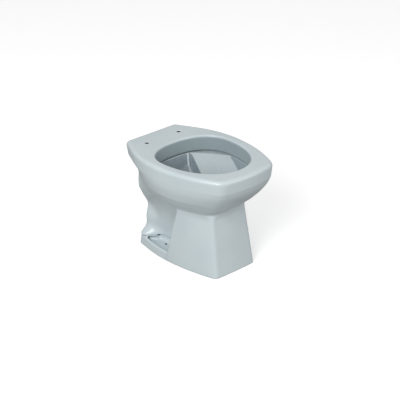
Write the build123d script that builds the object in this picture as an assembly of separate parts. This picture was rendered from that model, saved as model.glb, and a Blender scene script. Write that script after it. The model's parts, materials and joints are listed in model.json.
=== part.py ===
from build123d import *
from dataclasses import dataclass
from math import atan2, cos, pi, radians, sin, tan
import os

# Floor-standing toilet bowl in glazed vitreous china, as the separate castings that are luted together.
# Millimetres, +Z up, front towards -Y. The origin is on the floor, under the middle of the bowl.

# Overall sizes
height = 390.0
half_length = 252.5
half_width = 191.0
wall = 11.0

# Heights of the joints, down from the rim and up from the floor
rim_depth = 57.0
deck_depth = 50.0
crease_height = 226.0
neck_height = 206.0
casing_foot_height = 45.0
foot_height = 33.0

# Rim, deck and flush channel
deck_half_back = 116.0
deck_thickness = 14.0
rim_edge_radius = 13.0
opening_half_width = 152.0
opening_centre_y = 10.0
opening_rear = 117.0
opening_front = 205.0
opening_rear_power = 2.3
opening_front_power = 2.1
opening_edge_radius = 5.0
drop_wall = 8.0
channel_floor_thickness = 8.0
channel_web_y = 167.0
channel_web = 9.0
flush_hole_radius = 2.75
flush_hole_count = 28

# Seat holes
seat_hole_spacing = 149.0
seat_hole_y = 184.0
seat_hole_radius = 7.0

# Basin
basin_wall = 9.0
shelf_drop = 5.0
shelf_reach = 14.0
shelf_wall = 5.0
basin_outset = 3.0
basin_knee_height = 288.0
basin_knee_reach = (151.0, 118.0, 200.0)
basin_waist_height = 226.0
basin_waist_reach = (100.0, 95.0, 118.0)
facet_rear = (76.0, 119.0)
facet_front = (161.0, 3.0)
facet_slope = 45.0
pit_rear = (79.5, 140.0)
pit_front = (29.5, -60.0)
rear_wall_y = 122.0
rear_wall_lean = 7.0
niche_half_width = 62.0
niche_depth = 7.0
ramp_profile = [(-50.0, 119.0), (0.0, 171.0), (48.0, 221.0), (118.0, 253.0)]
sump_joint_height = 200.0
sump_floor_height = 150.0
sump_floor_reach = (80.0, 70.0, 105.0)

# Trapway
trap_bore_radius = 27.0
trap_wall = 9.0
trap_mouth_y = -80.0
trap_mouth_height = 172.0
trap_dip_y = 0.0
trap_dip_height = 105.0
trap_dip_radius = 60.0
trap_rise = 46.0
trap_crown_radius = 42.0
outlet_y = 146.0
outlet_joint_height = 44.0
outlet_bore_radius = 34.0
outlet_wall = 8.0
outlet_floor_gap = 4.0
outlet_seal_height = 18.0
outlet_seal_thickness = 8.0
outlet_seal_gap = 0.5

# Flush inlet
inlet_height = 304.0
inlet_bore_radius = 22.5
inlet_wall = 7.5
inlet_rear_y = 228.0
flush_pipe_radius = 19.0
seal_lip = 3.0
seal_lip_radius = 28.0
spreader_half_width = 38.0
spreader_half_height = 28.0
spreader_front_y = 151.0
spreader_rear_y = 196.0
spreader_wall = 6.0

# Walls round the trap
casing_front_y = -24.0
casing_side_end_y = 118.0
casing_turn_y = 150.0
casing_turn_share = 0.55
casing_corner_radius = 16.0

# Foot and floor screws
pocket_inset = 11.0
pocket_floor_height = 22.0
flange_underside = 10.0
landing_y = 148.0
casing_undercut = 3.0
foot_taper = 3.0
foot_edge_radius = 6.0
screw_hole_x = 62.0
screw_hole_y = 104.0
screw_hole_radius = 5.0

# Rear edge of the pedestal's sides, which leans back towards the floor
edge_top_y = -20.0
edge_foot_y = 44.0

rim_joint = height - rim_depth
deck_edge_height = height - deck_depth
shelf_height = rim_joint - shelf_drop
far = 2.0 * height


@dataclass
class Level:
    """One horizontal outline: corners before rounding, as (half width, y) pairs."""

    z: float
    back: tuple
    side: tuple
    front: tuple
    nose: float
    back_radius: float
    front_radius: float


def outline(level, inset=0.0):
    """Face inside one level's outline, drawn in by inset."""
    back_x = level.back[0] - inset
    back_y = level.back[1] - inset
    side_x = level.side[0] - inset
    side_y = level.side[1]
    front_x = level.front[0] - 0.75 * inset
    front_y = level.front[1] + inset
    chord = atan2(side_x - back_x, back_y - side_y)
    flare = 1.5 * chord
    half_turn = tan(flare / 2)
    run = (side_x - back_x - half_turn * (back_y - side_y)) / (sin(flare) - half_turn * cos(flare))
    shoulder_x = back_x + run * sin(flare)
    shoulder_y = back_y - run * cos(flare)
    edges = [Line((back_x, back_y), (-back_x, back_y))]
    edges.append(ThreePointArc((-front_x, front_y), (0, level.nose + inset), (front_x, front_y)))
    for hand in (-1, 1):
        edges.append(Line((hand * back_x, back_y), (hand * shoulder_x, shoulder_y)))
        side = (hand * side_x, side_y)
        edges.append(TangentArc(side, (hand * shoulder_x, shoulder_y), tangent=(0, 1)))
        edges.append(TangentArc(side, (hand * front_x, front_y), tangent=(0, -1)))
    face = make_face(edges)
    back_corners = face.vertices().sort_by(Axis.Y)[-2:]
    face = fillet(back_corners, max(level.back_radius - inset, 2.0))
    front_corners = face.vertices().sort_by(Axis.Y)[:2]
    face = fillet(front_corners, max(level.front_radius - inset, 2.0))
    return Pos(0, 0, level.z) * face


def oval(z, grow=0.0, reaches=(opening_half_width, opening_rear, opening_front)):
    """Face inside the opening's oval, squarer at the back than at the front."""
    half, rear, front = reaches
    points = []
    count = 40
    for step in range(count):
        turn = 2 * pi * step / count
        across = cos(turn)
        along = sin(turn)
        power = opening_rear_power if along > 0 else opening_front_power
        reach = rear if along > 0 else front
        x = (half + grow) * abs(across) ** (2 / power) * (1 if across > 0 else -1)
        y = (reach + grow) * abs(along) ** (2 / power) * (1 if along > 0 else -1)
        points.append((x, opening_centre_y + y))
    return Pos(0, 0, z) * make_face(Spline(*points, periodic=True))


def block(low, high):
    """Box between two corners."""
    size = [high[i] - low[i] for i in range(3)]
    middle = [(high[i] + low[i]) / 2 for i in range(3)]
    return Pos(*middle) * Box(*size)


def keep_between(shape, low_z, high_z):
    """The part of a shape between two heights."""
    return shape & block((-far, -far, low_z), (far, far, high_z))


# Outlines of the bowl, from the rim down to the crease
rim_top = Level(height, (deck_half_back, half_length), (half_width, 15), (121, 14.5 - half_length),
                -half_length, 18, 45)
deck_edge = Level(deck_edge_height, (111, 244.5), (187, 15), (118, -233.5), -248.5, 18, 45)
deck_root = Level(deck_edge_height - 18, (104, 214), (184.5, 14), (114.5, -227), -242, 20, 45)
bowl_bend = Level(deck_edge_height - 34, (101, 210), (180, 12), (110.5, -218), -233, 20, 46)
bowl_waist = Level(deck_edge_height - 60, (97, 208), (170, 10), (101.5, -200), -212, 20, 48)
bowl_swell = Level(deck_edge_height - 88, (101, 208), (151, 12), (90, -176), -184, 20, 52)
crease = Level(crease_height, (102, 208), (128, 30), (84, -149), -151, 20, 60)
bowl_levels = [rim_top, deck_edge, deck_root, bowl_bend, bowl_waist, bowl_swell, crease]

# Outlines of the pedestal, from the crease to the floor
neck = Level(neck_height, (96, 208), (126, 30), (78, -148), -149.5, 28, 14)
base = Level(0, (95, 210), (122, 30), (93, -182), -184, 12, 20)
pedestal_levels = [crease, neck, base]

# Sections of the walls round the trap: height, half width beside the pedestal, half width and y at the back
casing_rows = [
    (crease_height, 122.5, 100, 208),
    (neck_height, 108, 93, 208),
    (187, 96, 83, 208),
    (167, 84, 71, 207),
    (149, 75, 65, 206),
    (121, 65, 70, 205),
    (97, 59, 74, 204),
    (70, 54, 77, 203),
    (foot_height, 50, 80, 203),
]


def casing_section(row, inset=0.0, front_y=casing_front_y):
    """Face of the trap casing at one height, drawn in by inset."""
    z, side, rear, back = row
    side_x = side - inset
    rear_x = rear - inset
    back_y = back - inset
    turn_x = rear_x + casing_turn_share * (side_x - rear_x)
    turn_end_y = back_y - casing_corner_radius - 2
    edges = [Line((side_x, front_y), (-side_x, front_y)), Line((rear_x, back_y), (-rear_x, back_y))]
    for hand in (-1, 1):
        points = [(hand * side_x, casing_side_end_y), (hand * turn_x, casing_turn_y)]
        points.append((hand * rear_x, turn_end_y))
        edges.append(Line((hand * side_x, front_y), points[0]))
        edges.append(Spline(*points, tangents=[(0, 1), (0, 1)]))
        edges.append(Line(points[-1], (hand * rear_x, back_y)))
    face = make_face(edges)
    corners = face.vertices().sort_by(Axis.Y)[-2:]
    return Pos(0, 0, z) * fillet(corners, casing_corner_radius - 0.5 * inset)


def bowl_form(inset=0.0):
    """Outer form of the bowl, from the crease to the rim."""
    return loft([outline(level, inset) for level in reversed(bowl_levels)], ruled=True)


def pedestal_form(inset=0.0):
    """Outer form of the pedestal and of what its outline would enclose behind it."""
    return loft([outline(level, inset) for level in reversed(pedestal_levels)], ruled=True)


def casing_form(inset=0.0, front_y=casing_front_y):
    """Outer form of the walls round the trap."""
    return loft([casing_section(row, inset, front_y) for row in reversed(casing_rows)])


def facet_plane(hand, shift=0.0):
    """Plane of one side facet of the basin, moved down through the china by shift."""
    run_x = facet_front[0] - facet_rear[0]
    run_y = facet_front[1] - facet_rear[1]
    heading = atan2(-run_y, run_x)
    slope = radians(facet_slope)
    inward = (-hand * sin(heading) * sin(slope), -cos(heading) * sin(slope), cos(slope))
    plane = Plane(origin=(hand * facet_rear[0], facet_rear[1], shelf_height), z_dir=inward)
    return plane.offset(-shift)


def rear_plane(shift=0.0):
    """Plane of the basin's rear wall, which leans forwards towards its foot, moved back by shift."""
    lean = radians(rear_wall_lean)
    plane = Plane(origin=(0, rear_wall_y, rim_joint), z_dir=(0, -cos(lean), sin(lean)))
    return plane.offset(-shift)


def basin_form(grow=0.0):
    """Inside of the basin, or its outside when grown by the wall: two side facets and a pit behind them."""
    faces = [oval(sump_floor_height - grow, grow, sump_floor_reach)]
    faces.append(oval(basin_waist_height, grow, basin_waist_reach))
    faces.append(oval(basin_knee_height, grow, basin_knee_reach))
    faces.append(oval(shelf_height, grow + basin_outset))
    bucket = split(loft(faces, ruled=True), bisect_by=rear_plane(grow + niche_depth), keep=Keep.TOP)
    form = bucket
    for hand in (-1, 1):
        form = split(form, bisect_by=facet_plane(hand, grow), keep=Keep.TOP)
    corners = [pit_rear, pit_front, (-pit_front[0], pit_front[1]), (-pit_rear[0], pit_rear[1])]
    plan = offset(make_face(Polyline(*corners, close=True)), grow + 0.01, kind=Kind.INTERSECTION)
    return form + (bucket & extrude(plan, shelf_height)) - ramp(grow)


def ramp(drop=0.0):
    """China that rises behind the sump, over the trapway, drawn in by drop."""
    rear_y = 2 * rear_wall_y
    points = ramp_profile + [(rear_y, ramp_profile[-1][1]), (rear_y, 0), (ramp_profile[0][0], 0)]
    side = make_face(Polyline(*points, close=True))
    if drop:
        side = offset(side, -drop)
    return extrude(Plane.YZ * side, half_width, both=True)


def pilasters():
    """The two flat strips beside the shallow niche in the basin's rear wall."""
    strips = block((-far, 0, sump_joint_height), (far, far, shelf_height))
    strips -= block((-niche_half_width, 0, 0), (niche_half_width, far, far))
    return split(strips, bisect_by=rear_plane(), keep=Keep.BOTTOM)


def trap_path():
    """Centre line of the trapway: down under the sump, up over the weir and down to the outlet."""
    corner_height = trap_dip_height + (outlet_y - trap_dip_y) * tan(radians(trap_rise))
    points = [(0, trap_mouth_y, trap_mouth_height), (0, trap_dip_y, trap_dip_height)]
    points.append((0, outlet_y, corner_height))
    points.append((0, outlet_y, outlet_joint_height))
    return FilletPolyline(*points, radius=[trap_dip_radius, trap_crown_radius])


def pipe(path, radius):
    """Round bar along a path."""
    start = path @ 0
    heading = path % 0
    return sweep(Plane(origin=start, z_dir=heading) * Circle(radius), path=path)


def rod(x, y, low_z, high_z, radius):
    """Upright cylinder."""
    return Pos(x, y, (low_z + high_z) / 2) * Cylinder(radius, high_z - low_z)


def rod_along_y(low_y, high_y, z, radius):
    """Level cylinder along the bowl's middle line."""
    return Pos(0, (low_y + high_y) / 2, z) * Rot(90, 0, 0) * Cylinder(radius, high_y - low_y)


def edge_plane(shift=0.0):
    """Plane of the pedestal's rear edges, facing forwards."""
    plane = Plane(origin=(0, edge_foot_y, 0), z_dir=(0, -crease_height, edge_top_y - edge_foot_y))
    return plane.offset(shift)


def make_rim_deck():
    """Rim with its seat deck, drop wall and open flush channel."""
    body = keep_between(bowl_form(), rim_joint, far)
    body = fillet(body.edges().group_by(Axis.Z)[-1], rim_edge_radius)
    body -= extrude(oval(rim_joint - 1), rim_depth + 2)
    inner = keep_between(bowl_form(wall), rim_joint - 1, height - deck_thickness)
    inner -= extrude(oval(rim_joint - 2, drop_wall), rim_depth)
    inner -= block((-far, channel_web_y, 0), (far, channel_web_y + channel_web, far))
    body -= inner
    for hand in (-1, 1):
        x = hand * seat_hole_spacing / 2
        body -= rod(x, seat_hole_y, height - rim_depth, height + 1, seat_hole_radius)
    body -= rod_along_y(0, far, inlet_height, inlet_bore_radius + inlet_wall)
    lip = body.edges().filter_by(lambda e: abs(e.center().Z - height) < 0.01 and e.length > 400)
    lip = [e for e in lip if e.bounding_box().size.X < 2 * opening_half_width + 1]
    return fillet(lip, opening_edge_radius)


def make_channel_floor():
    """Floor of the flush channel, with the flush holes round the drop wall."""
    top = rim_joint + channel_floor_thickness
    ring = keep_between(bowl_form(wall), rim_joint, top)
    ring -= extrude(oval(rim_joint - 1, drop_wall), channel_floor_thickness + 2)
    ring -= block((-far, channel_web_y, 0), (far, far, far))
    inside = spreader_half_width - spreader_wall
    ring -= block((-inside, spreader_front_y + spreader_wall, 0), (inside, far, far))
    holes = oval(rim_joint - 1, (drop_wall + shelf_reach) / 2).edges()[0]
    for step in range(flush_hole_count):
        spot = holes @ ((step + 0.5) / flush_hole_count)
        ring -= rod(spot.X, spot.Y, rim_joint - 1, top + 1, flush_hole_radius)
    return ring


def make_apron():
    """Outer wall of the bowl between the rim and the crease, with the hole for the flush inlet."""
    shell = bowl_form() - bowl_form(wall)
    shell = keep_between(shell, crease_height, rim_joint)
    return shell - rod_along_y(0, far, inlet_height, inlet_bore_radius + inlet_wall)


def make_basin_and_sump(outside):
    """Faceted basin with its shelf under the rim, and the sump below it with the trap's mouth."""
    rim = extrude(oval(shelf_height - basin_wall, shelf_reach + shelf_wall), shelf_drop + basin_wall)
    rim -= extrude(oval(shelf_height, shelf_reach), shelf_drop + 1)
    body = outside + rim - (basin_form() - pilasters())
    basin = keep_between(body, sump_joint_height, rim_joint)
    sump = keep_between(body, 0, sump_joint_height) - pipe(trap_path(), trap_bore_radius)
    return basin, sump


def make_trapway(basin_outside):
    """Rising leg, crown and falling leg of the trapway."""
    path = trap_path()
    outer_radius = trap_bore_radius + trap_wall
    tube = pipe(path, outer_radius) - pipe(path, trap_bore_radius) - basin_outside
    rise = radians(trap_rise)
    tangent = trap_crown_radius * tan((pi / 2 + rise) / 2)
    corner_height = trap_dip_height + (outlet_y - trap_dip_y) * tan(rise)
    leg_front_y = outlet_y - outer_radius - 1
    leg = tube & block((-far, leg_front_y, 0), (far, far, corner_height - tangent))
    start = (0, outlet_y - tangent * cos(rise), corner_height - tangent * sin(rise))
    joint = Plane(origin=start, z_dir=(0, cos(rise), sin(rise)))
    rest = tube - block((-far, leg_front_y, 0), (far, far, corner_height - tangent))
    riser = split(rest, bisect_by=joint, keep=Keep.BOTTOM)
    crown = split(rest, bisect_by=joint, keep=Keep.TOP)
    return riser, crown, leg


def make_outlet_horn():
    """Bell at the foot of the falling leg, which stands over the drain."""
    outer_radius = outlet_bore_radius + outlet_wall
    horn = rod(0, outlet_y, outlet_floor_gap, outlet_joint_height, outer_radius)
    horn -= rod(0, outlet_y, 0, outlet_joint_height - outlet_wall, outlet_bore_radius)
    return horn - rod(0, outlet_y, 0, far, trap_bore_radius)


def make_outlet_seal():
    """Rubber ring round the horn, pressed on the drain by the bowl's weight."""
    inner_radius = outlet_bore_radius + outlet_wall
    ring = rod(0, outlet_y, 0, outlet_seal_height, inner_radius + outlet_seal_thickness)
    return ring - rod(0, outlet_y, -1, outlet_seal_height + 1, inner_radius)


def make_inlet_horn():
    """Socket for the flush pipe, through the back wall under the deck."""
    horn = rod_along_y(spreader_rear_y, inlet_rear_y, inlet_height, inlet_bore_radius + inlet_wall)
    return horn - rod_along_y(0, far, inlet_height, inlet_bore_radius)


def make_inlet_seal():
    """Rubber sleeve in the inlet socket, with a lip over the socket's mouth."""
    sleeve = rod_along_y(spreader_rear_y, inlet_rear_y + seal_lip, inlet_height, inlet_bore_radius)
    sleeve += rod_along_y(inlet_rear_y, inlet_rear_y + seal_lip, inlet_height, seal_lip_radius)
    return sleeve - rod_along_y(0, far, inlet_height, flush_pipe_radius)


def make_spreader():
    """Hollow duct from the inlet up into the flush channel at the back of the rim."""
    low = (-spreader_half_width, spreader_front_y, inlet_height - spreader_half_height)
    duct = block(low, (spreader_half_width, spreader_rear_y, rim_joint))
    duct = fillet(duct.edges().filter_by(Axis.Y).sort_by(Axis.Z)[:2], 2 * spreader_wall)
    half = spreader_half_width - spreader_wall
    front_y = spreader_front_y + spreader_wall
    floor_z = inlet_height - spreader_half_height + spreader_wall
    roof_z = rim_joint - spreader_wall
    hollow = block((-half, front_y, floor_z), (half, spreader_rear_y - spreader_wall, roof_z))
    hollow = fillet(hollow.edges().filter_by(Axis.Y).sort_by(Axis.Z)[:2], spreader_wall)
    duct -= hollow
    duct -= block((-half, front_y, roof_z - 1), (half, channel_web_y, far))
    return duct - rod_along_y(front_y + spreader_wall, far, inlet_height, inlet_bore_radius)


def make_pedestal():
    """Front and sides of the pedestal, with the web that closes it behind its rear edges."""
    shell = split(pedestal_form(), bisect_by=edge_plane(), keep=Keep.TOP)
    shell -= split(pedestal_form(wall), bisect_by=edge_plane(wall), keep=Keep.TOP)
    return shell - casing_form(wall, casing_front_y - 2 * wall)


def make_casing():
    """Recessed walls round the trap, behind the pedestal's rear edges, undercut above the pockets."""
    shell = split(casing_form(), bisect_by=edge_plane(), keep=Keep.BOTTOM)
    shell -= block((-far, -far, 0), (far, landing_y, casing_foot_height))
    toe = Pos(0, 0, pocket_floor_height - foot_height) * casing_section(casing_rows[-1], casing_undercut)
    toe = extrude(toe, casing_foot_height - pocket_floor_height)
    toe &= block((-far, -far, 0), (far, landing_y, far))
    shell += split(toe, bisect_by=edge_plane(), keep=Keep.BOTTOM)
    shell -= casing_form(wall, casing_front_y - 2 * wall)
    return shell - casing_shaft()


def casing_shaft():
    """Room inside the foot under the trap casing, for the outlet."""
    front_y = casing_front_y - 2 * wall
    shaft = Pos(0, 0, -foot_height - 1) * casing_section(casing_rows[-1], wall, front_y)
    return extrude(shaft, foot_height + 2)


def make_foot():
    """Raised edge of the foot with its two pockets, and the landing under the trap casing."""
    top = Pos(0, 0, foot_height) * outline(base, foot_taper)
    foot = loft([outline(base), top], ruled=True)
    foot = fillet(foot.edges().group_by(Axis.Z)[-1], foot_edge_radius)
    pocket = Pos(0, 0, pocket_floor_height) * outline(base, pocket_inset)
    pocket = extrude(pocket, foot_height)
    last_row = casing_rows[-1]
    landing = extrude(Pos(0, 0, -foot_height) * casing_section(last_row), foot_height)
    pocket -= landing & block((-far, landing_y, 0), (far, far, far))
    foot -= pocket
    foot -= extrude(Pos(0, 0, -1) * outline(base, wall), flange_underside + 1)
    foot -= casing_shaft()
    seal_room = outlet_bore_radius + outlet_wall + outlet_seal_thickness + outlet_seal_gap
    foot -= rod(0, outlet_y, -1, foot_height + 1, seal_room)
    for hand in (-1, 1):
        foot -= rod(hand * screw_hole_x, screw_hole_y, 0, foot_height, screw_hole_radius)
    return split(foot, bisect_by=edge_plane(), keep=Keep.BOTTOM)


def left_and_right(shape):
    """The two halves of a shape, cut along the middle; left is the side of -X."""
    left = shape & block((-far, -far, -far), (0, far, far))
    right = shape & block((0, -far, -far), (far, far, far))
    return left, right


basin_outside = basin_form(basin_wall)
basin_piece, sump_piece = make_basin_and_sump(basin_outside)
riser_piece, crown_piece, leg_piece = make_trapway(basin_outside)
casing_left, casing_right = left_and_right(make_casing())
foot_left, foot_right = left_and_right(make_foot())

pieces = {
    "rim_deck": make_rim_deck(),
    "rim_channel_floor": make_channel_floor(),
    "bowl_apron": make_apron(),
    "basin": basin_piece,
    "sump": sump_piece,
    "trap_riser": riser_piece,
    "trap_crown": crown_piece,
    "trap_down_leg": leg_piece,
    "outlet_horn": make_outlet_horn(),
    "outlet_seal_ring": make_outlet_seal(),
    "flush_inlet_horn": make_inlet_horn(),
    "flush_inlet_seal": make_inlet_seal(),
    "flush_spreader": make_spreader(),
    "pedestal_shell": make_pedestal(),
    "trap_casing_left": casing_left,
    "trap_casing_right": casing_right,
    "foot_flange_left": foot_left,
    "foot_flange_right": foot_right,
}

os.makedirs("parts", exist_ok=True)
for name, piece in pieces.items():
    export_step(piece, f"parts/{name}.step")
    print(name, piece.is_valid, round(piece.volume), len(piece.solids()))
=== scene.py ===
"""Floor-standing toilet bowl in pale glazed china: castings with soft glazed edges, and their finishes."""

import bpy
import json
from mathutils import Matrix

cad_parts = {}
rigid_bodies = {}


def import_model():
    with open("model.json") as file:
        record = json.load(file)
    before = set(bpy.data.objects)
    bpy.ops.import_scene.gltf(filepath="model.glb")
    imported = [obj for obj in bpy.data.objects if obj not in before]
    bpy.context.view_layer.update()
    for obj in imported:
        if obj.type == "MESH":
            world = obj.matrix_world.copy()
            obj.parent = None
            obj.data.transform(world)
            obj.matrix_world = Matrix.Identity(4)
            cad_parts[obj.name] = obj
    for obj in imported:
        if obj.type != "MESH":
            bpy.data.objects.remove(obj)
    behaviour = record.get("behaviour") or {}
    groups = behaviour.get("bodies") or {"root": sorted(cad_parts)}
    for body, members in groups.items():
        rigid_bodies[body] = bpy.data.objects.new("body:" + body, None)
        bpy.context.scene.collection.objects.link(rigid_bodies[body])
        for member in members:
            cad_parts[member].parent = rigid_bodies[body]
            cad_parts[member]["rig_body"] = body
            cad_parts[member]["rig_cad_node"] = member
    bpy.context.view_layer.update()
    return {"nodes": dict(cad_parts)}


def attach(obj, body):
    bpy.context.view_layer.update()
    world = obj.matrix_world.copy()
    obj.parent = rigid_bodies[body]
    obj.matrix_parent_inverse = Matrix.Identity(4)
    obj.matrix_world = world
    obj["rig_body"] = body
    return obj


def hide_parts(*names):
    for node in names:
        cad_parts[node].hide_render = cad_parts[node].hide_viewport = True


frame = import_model()

import json
import logging
from dataclasses import dataclass, field
from enum import Enum

import bpy
from mathutils import Vector

log = logging.getLogger("toilet_bowl")

Pair = tuple[float, float]
Triple = tuple[float, float, float]
Rgb = tuple[int, int, int]
Tree = bpy.types.NodeTree
Socket = bpy.types.NodeSocket

SAME_POINT = 1e-6


class Side(Enum):
    """Which side of a cutting plane is kept: the one its normal points to, or the other."""

    AHEAD = "ahead"
    BEHIND = "behind"


def linear(red: int, green: int, blue: int) -> tuple[float, float, float, float]:
    """Turn a display colour into the linear colour that a shader takes.

    Args:
        red: Red, from 0 to 255.
        green: Green, from 0 to 255.
        blue: Blue, from 0 to 255.

    Returns:
        The colour with an alpha of 1.
    """
    values = [channel / 255 for channel in (red, green, blue)]
    return (*[v / 12.92 if v <= 0.04045 else ((v + 0.055) / 1.055) ** 2.4 for v in values], 1.0)


# Nodes and groups that the finishes share


def new_group(
    name: str,
    inputs: list[tuple[str, str, object]],
    outputs: list[tuple[str, str]],
) -> Tree:
    """Make an empty shader node group with named sockets.

    Args:
        name: Name of the group.
        inputs: Name, socket type and default value of each input.
        outputs: Name and socket type of each output.

    Returns:
        The group, holding its input and output nodes.
    """
    group = bpy.data.node_groups.new(name, "ShaderNodeTree")
    for title, kind, default in inputs:
        socket = group.interface.new_socket(title, in_out="INPUT", socket_type=kind)
        socket.default_value = default
    for title, kind in outputs:
        group.interface.new_socket(title, in_out="OUTPUT", socket_type=kind)
    group.nodes.new("NodeGroupInput").name = "in"
    group.nodes.new("NodeGroupOutput").name = "out"
    return group


def feed(tree: Tree, value: Socket | float, socket: Socket) -> None:
    """Link another socket to an input, or set the input to a plain number."""
    if isinstance(value, Socket):
        tree.links.new(value, socket)
    else:
        socket.default_value = value


def arithmetic(tree: Tree, operation: str, *values: Socket | float) -> Socket:
    """Add a math node.

    Args:
        tree: Node tree that gets the node.
        operation: Blender's name for the operation.
        *values: Sockets or plain numbers that it works on.

    Returns:
        The socket with its result.
    """
    node = tree.nodes.new("ShaderNodeMath")
    node.operation = operation
    for value, socket in zip(values, node.inputs):
        feed(tree, value, socket)
    return node.outputs[0]


def noise(tree: Tree, coordinates: Socket, scale: Socket | float, detail: float) -> Socket:
    """Add a noise texture that reads the given coordinates.

    Args:
        tree: Node tree that gets the texture.
        coordinates: Socket that the texture reads.
        scale: Scale of the noise, per metre.
        detail: Number of finer layers.

    Returns:
        The socket with its values.
    """
    texture = tree.nodes.new("ShaderNodeTexNoise")
    feed(tree, scale, texture.inputs["Scale"])
    feed(tree, detail, texture.inputs["Detail"])
    tree.links.new(coordinates, texture.inputs["Vector"])
    return texture.outputs["Fac"]


def spread(tree: Tree, source: Socket, low: float, high: float) -> Socket:
    """Stretch the values between low and high to run smoothly from 0 to 1.

    Args:
        tree: Node tree that gets the node.
        source: Socket with the values.
        low: Value that becomes 0.
        high: Value that becomes 1.

    Returns:
        The socket with the stretched values.
    """
    node = tree.nodes.new("ShaderNodeMapRange")
    node.interpolation_type = "SMOOTHSTEP"
    node.inputs["From Min"].default_value = low
    node.inputs["From Max"].default_value = high
    tree.links.new(source, node.inputs["Value"])
    return node.outputs[0]


def blend_colours(tree: Tree, mask: Socket, first: Socket, second: Socket) -> Socket:
    """Mix two colours by a mask.

    Args:
        tree: Node tree that gets the mix.
        mask: Share of the second colour.
        first: Colour where the mask is 0.
        second: Colour where the mask is 1.

    Returns:
        The socket with the mixed colour.
    """
    node = tree.nodes.new("ShaderNodeMix")
    node.data_type = "RGBA"
    for source, socket in zip((mask, first, second), (node.inputs[0], node.inputs[6], node.inputs[7])):
        tree.links.new(source, socket)
    return node.outputs[2]


def product(tree: Tree, *masks: Socket) -> Socket:
    """Multiply masks with each other.

    Args:
        tree: Node tree that gets the nodes.
        *masks: The masks.

    Returns:
        The socket with their product.
    """
    result = masks[0]
    for mask in masks[1:]:
        result = arithmetic(tree, "MULTIPLY", result, mask)
    return result


def vector_math(
    tree: Tree,
    operation: str,
    first: Socket,
    second: Triple = (0.0, 0.0, 0.0),
) -> bpy.types.Node:
    """Add a vector math node that works on a socket and a plain vector.

    Args:
        tree: Node tree that gets the node.
        operation: Blender's name for the operation.
        first: Socket with the first vector.
        second: The second vector.

    Returns:
        The node.
    """
    node = tree.nodes.new("ShaderNodeVectorMath")
    node.operation = operation
    node.inputs[1].default_value = second
    tree.links.new(first, node.inputs[0])
    return node


def plan(tree: Tree, x: Socket, y: Socket) -> Socket:
    """Join X and Y to a vector with no height."""
    flat = tree.nodes.new("ShaderNodeCombineXYZ")
    tree.links.new(x, flat.inputs["X"])
    tree.links.new(y, flat.inputs["Y"])
    return flat.outputs[0]


# Places where shade or a highlight is painted into the colour. Sizes are in metres, and each pair is where a
# mask is 0 and where it is 1


@dataclass(frozen=True)
class ShadedBoltHole:
    """Upright bolt hole and its mirror image, whose walls get painted shade, dark as the shade inside a hole.
    """

    centre: Pair
    radius: float
    top: float
    bottom: float
    side_fade: float = 0.0008
    top_fade: float = 0.002
    bottom_fade: float = 0.001

    def mask(self, tree: Tree, place: bpy.types.Node) -> Socket:
        """Mask the hole's wall, where shade is painted.

        Args:
            tree: Node tree that gets the mask.
            place: Separate XYZ node with the object's coordinates.

        Returns:
            The socket with the mask.
        """
        flat = plan(tree, arithmetic(tree, "ABSOLUTE", place.outputs["X"]), place.outputs["Y"])
        reach = vector_math(tree, "DISTANCE", flat, (*self.centre, 0.0)).outputs["Value"]
        near = spread(tree, reach, self.radius, self.radius - self.side_fade)
        below = spread(tree, place.outputs["Z"], self.top, self.top - self.top_fade)
        above = spread(tree, place.outputs["Z"], self.bottom, self.bottom + self.bottom_fade)
        return product(tree, near, below, above)


@dataclass(frozen=True)
class BowlWalls:
    """Steep walls inside the bowl, whose deeper tone stands in for the shade that they lie in."""

    centre_y: float = -0.034
    half_width: float = 0.170
    half_length: float = 0.186
    outline: Pair = (1.02, 0.99)
    top: Pair = (0.388, 0.378)
    slope: Pair = (0.6, 0.35)

    def mask(self, tree: Tree, place: bpy.types.Node, floor: Socket) -> Socket:
        """Mask the walls.

        Args:
            tree: Node tree that gets the mask.
            place: Separate XYZ node with the object's coordinates.
            floor: Socket with the height from which the mask counts.

        Returns:
            The socket with the mask.
        """
        flat = plan(tree, place.outputs["X"], place.outputs["Y"])
        centred = vector_math(tree, "ADD", flat, (0.0, -self.centre_y, 0.0)).outputs[0]
        scaled = vector_math(tree, "DIVIDE", centred, (self.half_width, self.half_length, 1.0)).outputs[0]
        inside = spread(tree, vector_math(tree, "LENGTH", scaled).outputs["Value"], *self.outline)
        below = spread(tree, place.outputs["Z"], *self.top)
        above = arithmetic(tree, "GREATER_THAN", place.outputs["Z"], floor)
        facing = tree.nodes.new("ShaderNodeSeparateXYZ")
        tree.links.new(tree.nodes.new("ShaderNodeTexCoord").outputs["Normal"], facing.inputs[0])
        steep = spread(tree, facing.outputs["Z"], *self.slope)
        return product(tree, inside, below, above, steep)


@dataclass(frozen=True)
class NicheHighlight:
    """Two upright edges of the niche in the basin's rear wall, which get a painted highlight as a pale line.
    """

    inner_side: Pair = (0.0585, 0.0605)
    outer_side: Pair = (0.0655, 0.0630)
    front: Pair = (0.085, 0.09)
    back: Pair = (0.15, 0.145)
    foot: Pair = (0.2, 0.24)
    top: Pair = (0.331, 0.328)

    def mask(self, tree: Tree, place: bpy.types.Node) -> Socket:
        """Mask the edges, where the highlight is painted.

        Args:
            tree: Node tree that gets the mask.
            place: Separate XYZ node with the object's coordinates.

        Returns:
            The socket with the mask.
        """
        width = arithmetic(tree, "ABSOLUTE", place.outputs["X"])
        limits = (
            (width, self.inner_side),
            (width, self.outer_side),
            (place.outputs["Y"], self.front),
            (place.outputs["Y"], self.back),
            (place.outputs["Z"], self.foot),
            (place.outputs["Z"], self.top),
        )
        return product(tree, *[spread(tree, source, *limit) for source, limit in limits])


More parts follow.
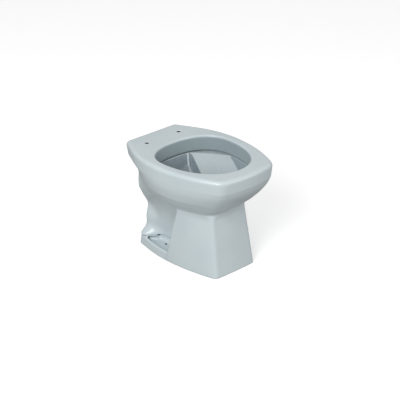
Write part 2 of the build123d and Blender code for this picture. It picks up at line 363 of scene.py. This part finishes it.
@dataclass(frozen=True)
class GlazeClouds:
    """Colour of the glaze: slow clouds of thin and thick glaze, fine specks and a bare foot line, with
    painted shade on the steep walls inside the bowl and in the bolt holes, and a painted highlight on the
    niche's edges.

    Scales are per metre.
    """

    cloud_scale: float = 7.0
    cloud_detail: float = 3.0
    cloud_range: Pair = (0.35, 0.68)
    speck_scale: float = 95.0
    speck_reach: Pair = (0.055, 0.03)
    rare_scale: float = 31.0
    rare_detail: float = 0.0
    rare_range: Pair = (0.62, 0.7)
    patch_scale: float = 24.0
    patch_detail: float = 2.0
    patch_range: Pair = (0.3, 0.7)
    foot_line: Pair = (0.0022, 0.0008)
    foot_roughness: float = 0.75
    walls: BowlWalls = BowlWalls()
    niche: NicheHighlight = NicheHighlight()
    seat_hole_shade: ShadedBoltHole = ShadedBoltHole((0.0745, 0.184), radius=0.0095, top=0.3885, bottom=0.372)
    screw_hole_shade: ShadedBoltHole = ShadedBoltHole((0.062, 0.104), radius=0.0068, top=0.0212, bottom=0.008)

    def build(self) -> Tree:
        """Build the group.

        Returns:
            The node group, with outputs Color and Roughness.
        """
        group = new_group(
            "glaze_clouds",
            [
                ("Thin", "NodeSocketColor", (0.6, 0.6, 0.6, 1)),
                ("Thick", "NodeSocketColor", (0.5, 0.5, 0.5, 1)),
                ("Speck", "NodeSocketColor", (0.3, 0.25, 0.2, 1)),
                ("Clay", "NodeSocketColor", (0.6, 0.57, 0.5, 1)),
                ("Speck Share", "NodeSocketFloat", 0.3),
                ("Smooth", "NodeSocketFloat", 0.2),
                ("Rough", "NodeSocketFloat", 0.3),
                # Painted shade in the bolt holes
                ("Hole Shade", "NodeSocketColor", (0.02, 0.02, 0.02, 1)),
                # Painted shade on the steep walls inside the bowl, and the height above which it is painted
                ("Wall Shade", "NodeSocketColor", (0.3, 0.3, 0.3, 1)),
                ("Wall Shade From", "NodeSocketFloat", 0.3),
                # Painted highlight on the two upright edges of the niche in the basin
                ("Edge Highlight", "NodeSocketColor", (0.6, 0.6, 0.6, 1)),
            ],
            [("Color", "NodeSocketColor"), ("Roughness", "NodeSocketFloat")],
        )
        nodes, links = group.nodes, group.links
        given = nodes["in"].outputs
        place = nodes.new("ShaderNodeTexCoord").outputs["Object"]
        heights = nodes.new("ShaderNodeSeparateXYZ")
        links.new(place, heights.inputs[0])
        foot = spread(group, heights.outputs["Z"], *self.foot_line)

        clouds = spread(group, noise(group, place, self.cloud_scale, self.cloud_detail), *self.cloud_range)
        seat_shade = self.seat_hole_shade.mask(group, heights)
        screw_shade = self.screw_hole_shade.mask(group, heights)
        # Colour layers, in order: glaze clouds, painted shade on the steep walls inside the bowl, a painted
        # highlight on the niche's edges, specks, the bare foot line, and painted shade in the bolt holes
        layers = (
            (clouds, "Thick"),
            (self.walls.mask(group, heights, given["Wall Shade From"]), "Wall Shade"),
            (self.niche.mask(group, heights), "Edge Highlight"),
            (self.specks(group, place), "Speck"),
            (foot, "Clay"),
            (arithmetic(group, "MAXIMUM", seat_shade, screw_shade), "Hole Shade"),
        )
        colour = given["Thin"]
        for mask, title in layers:
            colour = blend_colours(group, mask, colour, given[title])
        links.new(colour, nodes["out"].inputs["Color"])

        patches = spread(group, noise(group, place, self.patch_scale, self.patch_detail), *self.patch_range)
        gloss = nodes.new("ShaderNodeMapRange")
        links.new(patches, gloss.inputs["Value"])
        links.new(given["Smooth"], gloss.inputs["To Min"])
        links.new(given["Rough"], gloss.inputs["To Max"])
        dry = arithmetic(group, "MULTIPLY", foot, self.foot_roughness)
        roughness = arithmetic(group, "MAXIMUM", gloss.outputs[0], dry)
        links.new(roughness, nodes["out"].inputs["Roughness"])
        return group

    def specks(self, group: Tree, place: Socket) -> Socket:
        """Mask a few small dots, as strong as the input Speck Share says.

        Args:
            group: The node group that gets the mask.
            place: Socket with the object's coordinates.

        Returns:
            The socket with the mask.
        """
        cells = group.nodes.new("ShaderNodeTexVoronoi")
        cells.inputs["Scale"].default_value = self.speck_scale
        group.links.new(place, cells.inputs["Vector"])
        dots = spread(group, cells.outputs["Distance"], *self.speck_reach)
        rare = spread(group, noise(group, place, self.rare_scale, self.rare_detail), *self.rare_range)
        return product(group, dots, rare, group.nodes["in"].outputs["Speck Share"])


@dataclass(frozen=True)
class FiredSurface:
    """The surface itself: slow waves left by the mould, and a finer skin of peel or grain."""

    wave_scale: float = 19.0
    wave_detail: float = 1.0
    wave_depth: float = 0.0009
    grain_detail: float = 2.0
    grain_depth: float = 0.0002

    def build(self) -> Tree:
        """Build the group.

        Returns:
            The node group, with output Normal.
        """
        group = new_group(
            "fired_surface",
            [
                ("Wave", "NodeSocketFloat", 0.2),
                ("Grain", "NodeSocketFloat", 0.2),
                ("Grain Scale", "NodeSocketFloat", 160.0),
            ],
            [("Normal", "NodeSocketVector")],
        )
        nodes, links = group.nodes, group.links
        given = nodes["in"].outputs
        place = nodes.new("ShaderNodeTexCoord").outputs["Object"]
        slow = nodes.new("ShaderNodeBump")
        slow.inputs["Distance"].default_value = self.wave_depth
        links.new(given["Wave"], slow.inputs["Strength"])
        links.new(noise(group, place, self.wave_scale, self.wave_detail), slow.inputs["Height"])
        fine = nodes.new("ShaderNodeBump")
        fine.inputs["Distance"].default_value = self.grain_depth
        links.new(given["Grain"], fine.inputs["Strength"])
        links.new(noise(group, place, given["Grain Scale"], self.grain_detail), fine.inputs["Height"])
        links.new(slow.outputs[0], fine.inputs["Normal"])
        links.new(fine.outputs[0], nodes["out"].inputs["Normal"])
        return group


# Finishes


@dataclass(frozen=True)
class Finish:
    """One finish of the bowl, from its colours to the feel of its surface."""

    name: str
    thin: Rgb
    thick: Rgb
    speck: Rgb = (120, 116, 108)
    clay: Rgb = (205, 198, 184)
    # Painted shade on the steep walls inside the bowl, and the height above which it is painted
    wall_shade: Rgb = (146, 159, 163)
    wall_shade_from: float = 0.3
    # Painted highlight on the two upright edges of the niche in the basin
    edge: Rgb = (212, 219, 221)
    speck_share: float = 0.2
    smooth: float = 0.24
    rough: float = 0.34
    wave: float = 0.08
    grain: float = 0.1
    grain_scale: float = 160.0
    coat: float = 0.25
    coat_roughness: float = 0.24
    specular: float = 0.5

    def build(self, clouds: Tree, surface: Tree) -> bpy.types.Material:
        """Make the material.

        Args:
            clouds: Group that gives colour and roughness.
            surface: Group that gives the normal.

        Returns:
            The finished material.
        """
        material = bpy.data.materials.new(self.name)
        material.use_nodes = True
        tree = material.node_tree
        shader = tree.nodes["Principled BSDF"]
        colour = tree.nodes.new("ShaderNodeGroup")
        colour.node_tree = clouds
        colours = {
            "Thin": self.thin,
            "Thick": self.thick,
            "Speck": self.speck,
            "Clay": self.clay,
            "Wall Shade": self.wall_shade,
            "Edge Highlight": self.edge,
        }
        for socket, value in colours.items():
            colour.inputs[socket].default_value = linear(*value)
        colour.inputs["Wall Shade From"].default_value = self.wall_shade_from
        colour.inputs["Speck Share"].default_value = self.speck_share
        colour.inputs["Smooth"].default_value = self.smooth
        colour.inputs["Rough"].default_value = self.rough
        skin = tree.nodes.new("ShaderNodeGroup")
        skin.node_tree = surface
        skin.inputs["Wave"].default_value = self.wave
        skin.inputs["Grain"].default_value = self.grain
        skin.inputs["Grain Scale"].default_value = self.grain_scale
        tree.links.new(colour.outputs["Color"], shader.inputs["Base Color"])
        tree.links.new(colour.outputs["Roughness"], shader.inputs["Roughness"])
        tree.links.new(skin.outputs["Normal"], shader.inputs["Normal"])
        shader.inputs["Coat Weight"].default_value = self.coat
        shader.inputs["Coat Roughness"].default_value = self.coat_roughness
        shader.inputs["Specular IOR Level"].default_value = self.specular
        return material


@dataclass
class Finishes:
    """All finishes of the bowl, made once."""

    outer: bpy.types.Material = field(init=False)
    inner: bpy.types.Material = field(init=False)
    hidden: bpy.types.Material = field(init=False)
    bare: bpy.types.Material = field(init=False)
    rubber: bpy.types.Material = field(init=False)

    def __post_init__(self) -> None:
        """Build each finish from the shared groups."""
        clouds = GlazeClouds().build()
        surface = FiredSurface().build()
        self.outer = Finish(
            "outer_glaze",
            (193, 204, 207),
            (188, 199, 203),
            smooth=0.3,
            rough=0.4,
        ).build(clouds, surface)
        # The basin's glaze is a darker copy of the outer glaze: painted shade inside the bowl, with more
        # painted shade on its steep walls
        self.inner = Finish(
            "shaded_basin_glaze",
            (178, 188, 191),
            (172, 184, 188),
            wall_shade=(143, 156, 162),
            wall_shade_from=0.15,
            coat=0.3,
        ).build(clouds, surface)
        self.hidden = Finish(
            "channel_glaze",
            (196, 203, 204),
            (178, 187, 189),
            speck_share=0.6,
            smooth=0.35,
            rough=0.55,
            wave=0.3,
        ).build(clouds, surface)
        self.bare = Finish(
            "bare_china",
            (214, 208, 194),
            (198, 190, 174),
            speck_share=0.8,
            smooth=0.7,
            rough=0.85,
            grain=0.6,
            grain_scale=900.0,
            coat=0.0,
            specular=0.3,
        ).build(clouds, surface)
        self.rubber = Finish(
            "seal_rubber",
            (40, 40, 41),
            (30, 30, 31),
            speck=(70, 70, 70),
            clay=(45, 45, 46),
            smooth=0.55,
            rough=0.75,
            grain=0.5,
            grain_scale=600.0,
            coat=0.0,
            specular=0.35,
        ).build(clouds, surface)


# Shaping


def pick(*objects: bpy.types.Object) -> None:
    """Select just these objects and make the first one active."""
    bpy.ops.object.select_all(action="DESELECT")
    for thing in objects:
        thing.select_set(True)
    bpy.context.view_layer.objects.active = objects[0]


def apply_modifier(piece: bpy.types.Object, kind: str, **settings: object) -> None:
    """Add a modifier to a piece and apply it.

    Args:
        piece: The piece to change.
        kind: Blender's name for the modifier's type.
        **settings: Values for the modifier.
    """
    pick(piece)
    modifier = piece.modifiers.new(kind.lower(), kind)
    for name, value in settings.items():
        setattr(modifier, name, value)
    bpy.ops.object.modifier_apply(modifier=modifier.name)


def triangles(piece: bpy.types.Object) -> int:
    """Number of triangles in a piece's mesh."""
    return sum(len(polygon.vertices) - 2 for polygon in piece.data.polygons)


def open_edges(piece: bpy.types.Object) -> int:
    """Number of edges in a piece's mesh that don't join exactly two faces."""
    uses: dict[tuple[int, int], int] = {}
    for polygon in piece.data.polygons:
        for edge in polygon.edge_keys:
            uses[edge] = uses.get(edge, 0) + 1
    return sum(1 for count in uses.values() if count != 2)


@dataclass(frozen=True)
class Cut:
    """One flat cut through a fired form, at a joint between two castings."""

    point: Triple
    normal: Triple
    keep: Side

    def make(self, piece: bpy.types.Object) -> None:
        """Cut a piece and close it again with a flat face.

        Args:
            piece: The piece to cut.
        """
        pick(piece)
        bpy.ops.object.mode_set(mode="EDIT")
        bpy.ops.mesh.select_all(action="SELECT")
        bpy.ops.mesh.bisect(
            plane_co=self.point,
            plane_no=self.normal,
            use_fill=True,
            clear_inner=self.keep is Side.AHEAD,
            clear_outer=self.keep is Side.BEHIND,
            threshold=SAME_POINT,
        )
        bpy.ops.object.mode_set(mode="OBJECT")


@dataclass
class Joints:
    """Where the castings meet, in metres."""

    rim: float = 0.333
    crease: float = 0.226
    foot: float = 0.033
    sump: float = 0.200
    edge_foot_y: float = 0.044
    edge_top_y: float = -0.020

    def above(self, height: float) -> Cut:
        """Cut that keeps what is above a height."""
        return Cut((0, 0, height), (0, 0, 1), Side.AHEAD)

    def below(self, height: float) -> Cut:
        """Cut that keeps what is below a height."""
        return Cut((0, 0, height), (0, 0, 1), Side.BEHIND)

    def along_edge(self, keep: Side) -> Cut:
        """Cut along the pedestal's slanted rear edges, whose normal points to the front."""
        normal = (0.0, -self.crease, self.edge_top_y - self.edge_foot_y)
        return Cut((0.0, self.edge_foot_y, 0.0), normal, keep)

    def half(self, keep: Side) -> Cut:
        """Cut along the bowl's middle, whose normal points to +X."""
        return Cut((0, 0, 0), (1, 0, 0), keep)


@dataclass
class FiredForm:
    """Castings that the kiln fuses: their edges and joints soften under one skin of glaze."""

    name: str
    nodes: tuple[str, ...]
    voxel: float = 0.0027
    overlap: float = 0.0006
    softening: int = 6
    softening_share: float = 0.5
    limit: int = 190000
    thinning_margin: float = 0.97

    def build(self) -> bpy.types.Object:
        """Copy the castings, swell them until they touch, fuse them into one skin and soften it.

        Returns:
            The fused form.
        """
        castings = [frame["nodes"][node] for node in self.nodes]
        pick(*castings)
        bpy.ops.object.duplicate(linked=False)
        copies = list(bpy.context.selected_objects)
        for copy in copies:
            pick(copy)
            bpy.ops.object.mode_set(mode="EDIT")
            bpy.ops.mesh.select_all(action="SELECT")
            bpy.ops.mesh.remove_doubles(threshold=SAME_POINT)
            bpy.ops.object.mode_set(mode="OBJECT")
            apply_modifier(copy, "DISPLACE", strength=self.overlap, mid_level=0.0)
        pick(*copies)
        bpy.ops.object.join()
        form = bpy.context.view_layer.objects.active
        form.name = self.name
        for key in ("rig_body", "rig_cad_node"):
            if key in form:
                del form[key]
        form.parent = None
        apply_modifier(form, "REMESH", mode="VOXEL", voxel_size=self.voxel)
        apply_modifier(form, "SMOOTH", factor=self.softening_share, iterations=self.softening)
        apply_modifier(form, "DISPLACE", strength=-self.overlap, mid_level=0.0)
        pick(form)
        bpy.ops.object.shade_smooth()
        log.info("%s: %d triangles fused, %d open edges", self.name, triangles(form), open_edges(form))
        return form

    def carry_shading(self, form: bpy.types.Object, piece: bpy.types.Object) -> None:
        """Give a casting the whole form's smooth shading, so that its joints don't show.

        Args:
            form: The fused form.
            piece: The casting cut from it.
        """
        pick(piece)
        bpy.ops.object.shade_smooth()
        apply_modifier(
            piece,
            "DATA_TRANSFER",
            object=form,
            use_loop_data=True,
            data_types_loops={"CUSTOM_NORMAL"},
            loop_mapping="POLYINTERP_NEAREST",
        )

    def casting(
        self,
        form: bpy.types.Object,
        name: str,
        cuts: list[Cut],
        nodes: tuple[str, ...],
        finish: bpy.types.Material,
    ) -> bpy.types.Object:
        """Cut one casting out of a fused form and put it in the frame.

        Args:
            form: The fused form, which is left whole.
            name: Name of the new piece.
            cuts: Cuts at the casting's joints.
            nodes: Solids that the piece stands for.
            finish: Its material.

        Returns:
            The finished piece.
        """
        pick(form)
        bpy.ops.object.duplicate(linked=False)
        piece = bpy.context.view_layer.objects.active
        piece.name = name
        for cut in cuts:
            cut.make(piece)
        if triangles(piece) > self.limit:
            ratio = self.limit / triangles(piece) * self.thinning_margin
            apply_modifier(piece, "DECIMATE", ratio=ratio)
        piece.data.materials.clear()
        piece.data.materials.append(finish)
        self.carry_shading(form, piece)
        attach(piece, "root")
        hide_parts(*nodes)
        log.info("%s: %d triangles, %d open edges", name, triangles(piece), open_edges(piece))
        return piece


@dataclass
class OuterBody:
    """Rim and deck, outer bowl wall, pedestal, trap casing and foot."""

    joints: Joints
    finishes: Finishes
    form: FiredForm = field(
        default_factory=lambda: FiredForm(
            "outer_form",
            (
                "rim_deck",
                "bowl_apron",
                "pedestal_shell",
                "trap_casing_left",
                "trap_casing_right",
                "foot_flange_left",
                "foot_flange_right",
            ),
        )
    )

    def build(self) -> None:
        """Fuse the outer castings and part them again at their joints."""
        fused = self.form.build()
        joints = self.joints
        glaze = self.finishes.outer
        self.form.casting(fused, "glazed_rim_deck", [joints.above(joints.rim)], ("rim_deck",), glaze)
        wall = [joints.below(joints.rim), joints.above(joints.crease)]
        self.form.casting(fused, "glazed_bowl_wall", wall, ("bowl_apron",), glaze)
        front = [joints.below(joints.crease), joints.along_edge(Side.AHEAD)]
        self.form.casting(fused, "glazed_pedestal", front, ("pedestal_shell",), glaze)
        for hand, keep in (("left", Side.BEHIND), ("right", Side.AHEAD)):
            rear = [joints.below(joints.crease), joints.along_edge(Side.BEHIND), joints.half(keep)]
            upper = rear + [joints.above(joints.foot)]
            lower = rear + [joints.below(joints.foot)]
            self.form.casting(fused, f"glazed_casing_{hand}", upper, (f"trap_casing_{hand}",), glaze)
            self.form.casting(fused, f"glazed_foot_{hand}", lower, (f"foot_flange_{hand}",), glaze)
        bpy.data.objects.remove(fused)


@dataclass
class InnerBowl:
    """Faceted basin and the sump below it."""

    joints: Joints
    finishes: Finishes
    form: FiredForm = field(default_factory=lambda: FiredForm("inner_form", ("basin", "sump"), voxel=0.0022))

    def build(self) -> None:
        """Fuse basin and sump and part them again at their joint."""
        fused = self.form.build()
        joints = self.joints
        glaze = self.finishes.inner
        self.form.casting(fused, "glazed_basin", [joints.above(joints.sump)], ("basin",), glaze)
        self.form.casting(fused, "glazed_sump", [joints.below(joints.sump)], ("sump",), glaze)
        bpy.data.objects.remove(fused)


@dataclass
class Waterways:
    """Pieces inside and behind the bowl whose solids are shown as they are, under their own finishes."""

    finishes: Finishes
    glazed: tuple[str, ...] = (
        "rim_channel_floor",
        "trap_riser",
        "trap_crown",
        "trap_down_leg",
        "flush_inlet_horn",
        "flush_spreader",
    )
    unglazed: tuple[str, ...] = ("outlet_horn",)
    seals: tuple[str, ...] = ("outlet_seal_ring", "flush_inlet_seal")

    def dress(self) -> None:
        """Give each solid its finish."""
        for names, finish in (
            (self.glazed, self.finishes.hidden),
            (self.unglazed, self.finishes.bare),
            (self.seals, self.finishes.rubber),
        ):
            for name in names:
                solid = frame["nodes"][name]
                solid.data.materials.clear()
                solid.data.materials.append(finish)
                log.info("%s: finish %s", name, finish.name)


@dataclass
class Studio:
    """Plain pale floor, soft light and the camera."""

    look_at: Triple = (-0.2605, -0.2781, 0.3903)
    back: Triple = (-0.6223, -0.6539, 0.4304)
    distance: float = 4.5068
    lens: float = 127.95
    floor_size: float = 30.0
    sky: float = 0.58
    key_power: float = 122.0
    key_place: Triple = (-3.3, -1.3, 2.5)
    key_size: float = 2.2
    fill_power: float = 36.0
    fill_place: Triple = (1.6, -3.4, 1.4)
    fill_size: float = 3.0
    aim: Triple = (0.0, 0.0, 0.2)
    paper: float = 0.93
    paper_roughness: float = 0.9
    paper_specular: float = 0.1
    paper_glow: float = 0.3
    bounce: float = 0.36
    sensor: float = 36.0

    def build(self) -> None:
        """Make the floor, the lights and the camera."""
        self.lay_floor()
        self.light("key_light", self.key_place, self.key_power, self.key_size)
        self.light("fill_light", self.fill_place, self.fill_power, self.fill_size)
        world = bpy.data.worlds.new("studio")
        world.use_nodes = True
        background = world.node_tree.nodes["Background"]
        background.inputs["Color"].default_value = (1, 1, 1, 1)
        background.inputs["Strength"].default_value = self.sky
        bpy.context.scene.world = world
        bpy.context.scene.view_settings.view_transform = "Standard"
        self.place_camera()

    def lay_floor(self) -> None:
        """Make the floor. The camera sees white paper, and what it throws on the bowl is dimmed."""
        bpy.ops.object.select_all(action="DESELECT")
        bpy.ops.mesh.primitive_plane_add(size=self.floor_size)
        floor = bpy.context.object
        floor.name = "floor"
        paper = bpy.data.materials.new("white_paper")
        paper.use_nodes = True
        nodes, links = paper.node_tree.nodes, paper.node_tree.links
        shader = nodes["Principled BSDF"]
        shader.inputs["Base Color"].default_value = (self.paper, self.paper, self.paper, 1)
        shader.inputs["Roughness"].default_value = self.paper_roughness
        shader.inputs["Specular IOR Level"].default_value = self.paper_specular
        shader.inputs["Emission Color"].default_value = (1, 1, 1, 1)
        shader.inputs["Emission Strength"].default_value = self.paper_glow
        dull = nodes.new("ShaderNodeBsdfDiffuse")
        dull.inputs["Color"].default_value = (self.bounce, self.bounce, self.bounce, 1)
        seen = nodes.new("ShaderNodeLightPath")
        mix = nodes.new("ShaderNodeMixShader")
        links.new(seen.outputs["Is Camera Ray"], mix.inputs["Fac"])
        links.new(dull.outputs[0], mix.inputs[1])
        links.new(shader.outputs[0], mix.inputs[2])
        links.new(mix.outputs[0], nodes["Material Output"].inputs["Surface"])
        floor.data.materials.append(paper)

    def light(self, name: str, place: Triple, power: float, size: float) -> None:
        """Hang one square soft light that faces the bowl.

        Args:
            name: Name of the light.
            place: Where it hangs.
            power: Its power in watts.
            size: Length of its side in metres.
        """
        data = bpy.data.lights.new(name, "AREA")
        data.energy = power
        data.size = size
        lamp = bpy.data.objects.new(name, data)
        bpy.context.collection.objects.link(lamp)
        lamp.location = place
        lamp.rotation_euler = (Vector(self.aim) - Vector(place)).to_track_quat("-Z", "Y").to_euler()

    def place_camera(self) -> None:
        """Put the camera where the photograph was taken from."""
        data = bpy.data.cameras.new("camera")
        data.lens = self.lens
        data.sensor_width = self.sensor
        camera = bpy.data.objects.new("camera", data)
        bpy.context.collection.objects.link(camera)
        back = Vector(self.back)
        camera.location = Vector(self.look_at) + back * self.distance
        camera.rotation_euler = (-back).to_track_quat("-Z", "Y").to_euler()
        bpy.context.scene.camera = camera


def main() -> None:
    """Build the bowl, its finishes and the studio in order."""
    logging.basicConfig(level=logging.INFO, format="%(message)s")
    finishes = Finishes()
    joints = Joints()
    OuterBody(joints, finishes).build()
    InnerBowl(joints, finishes).build()
    Waterways(finishes).dress()
    Studio().build()


if __name__ == "__main__":
    main()
